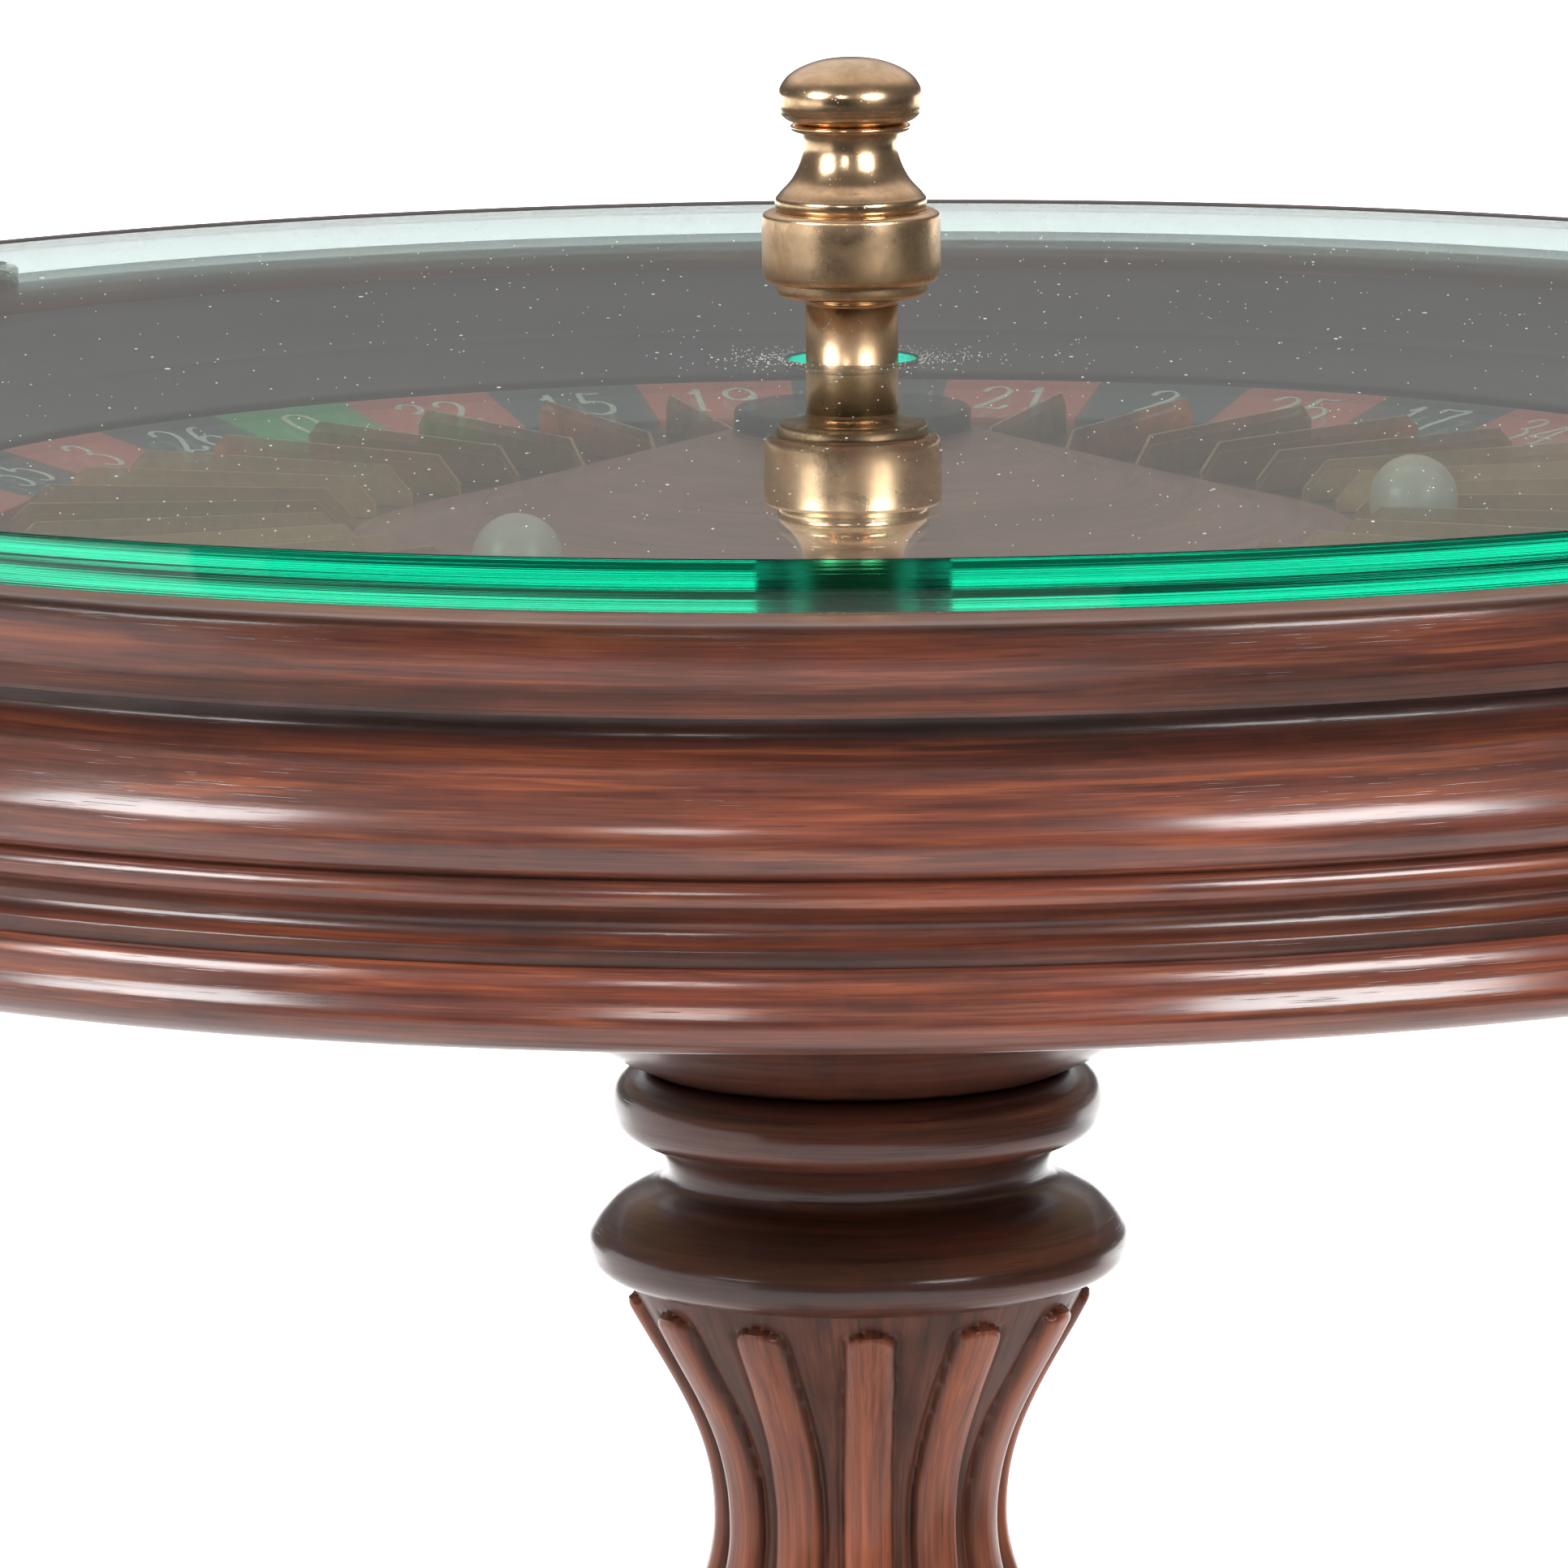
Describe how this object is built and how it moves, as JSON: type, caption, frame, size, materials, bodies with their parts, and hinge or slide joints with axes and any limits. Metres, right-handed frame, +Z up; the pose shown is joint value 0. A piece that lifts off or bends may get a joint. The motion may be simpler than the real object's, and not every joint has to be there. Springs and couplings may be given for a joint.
{
  "type": "roulette table",
  "caption": "Round glass-topped pedestal table with a spinning roulette wheel under the glass, turned by a brass finial on the spindle.",
  "frame": {"origin": "on the floor, under the wheel's axis", "axes": "+Z up along the wheel's axis, -Y towards the front, legs on the diagonals"},
  "size_m": [0.7199, 0.72, 0.8368],
  "materials": {
    "glass": "clear float glass with a green polished edge",
    "brass": "aged and pitted, lightly polished",
    "bronze": "dark patinated bronze",
    "mahogany": "stained and lacquered, dark glaze in the hollows",
    "dark_mahogany": "dark stain, satin lacquer",
    "plywood": "bare board with a thin sealer",
    "steel": "plain machined steel",
    "bone": "ivory-coloured, polished, with small specks",
    "pad": "clear soft pad",
    "felt": "dense felt",
    "numbers": "painted red, black and green with cream numerals",
    "pocket": "brown stain, satin",
    "cone": "brown stain, satin lacquer"
  },
  "bodies": {
    "table": {"glass_top": "glass", "glass_standoffs": "brass", "standoff_pads": "pad", "standoff_screws": "steel", "rim_ring": "mahogany", "apron_ring": "mahogany", "base_moulding": "mahogany", "bowl_bank": "dark_mahogany", "drum_board": "plywood", "board_screws": "steel", "bearing_housing": "steel", "housing_screws": "steel", "lower_bearing_outer": "steel", "upper_bearing_outer": "steel", "drum_cleat": "mahogany", "cleat_screws": "steel", "column_capital": "mahogany", "reeded_shaft": "mahogany", "column_base": "mahogany", "leg_hub": "mahogany", "hub_pendant": "mahogany", "tie_rod": "steel", "tie_nuts": "steel", "leg_1": "mahogany", "leg_2": "mahogany", "leg_3": "mahogany", "leg_4": "mahogany", "toe_cap_1": "brass", "toe_cap_2": "brass", "toe_cap_3": "brass", "toe_cap_4": "brass", "foot_glides": "felt"},
    "wheel": {"wheel_disc": "dark_mahogany", "number_ring": "numbers", "pocket_floor": "pocket", "pocket_dividers": "brass", "centre_cone": "cone", "spindle_flange": "bronze", "spindle": "brass", "finial_collar": "brass", "finial_vase": "brass", "finial_knob": "brass", "hub_plate": "steel", "hub_screws": "steel", "pivot_shaft": "steel", "bearing_spacer": "steel", "shaft_nut": "steel", "lower_bearing_inner": "steel", "upper_bearing_inner": "steel", "lower_bearing_balls": "steel", "upper_bearing_balls": "steel"},
    "first_ball": {"ball_1": "bone"},
    "second_ball": {"ball_2": "bone"}
  },
  "joints": [
    {"name": "wheel_spin", "type": "hinge", "parent": "table", "child": "wheel", "pos_m": [0, 0, 0.7], "axis": [0, 0, 1], "continuous": true},
    {"name": "first_ball_roll", "type": "slide", "parent": "wheel", "child": "first_ball", "axis": [0.9894, -0.1449, 0], "range_m": [0, 0.055]},
    {"name": "second_ball_roll", "type": "slide", "parent": "wheel", "child": "second_ball", "axis": [-0.5749, -0.8183, 0], "range_m": [0, 0.055]}
  ]
}
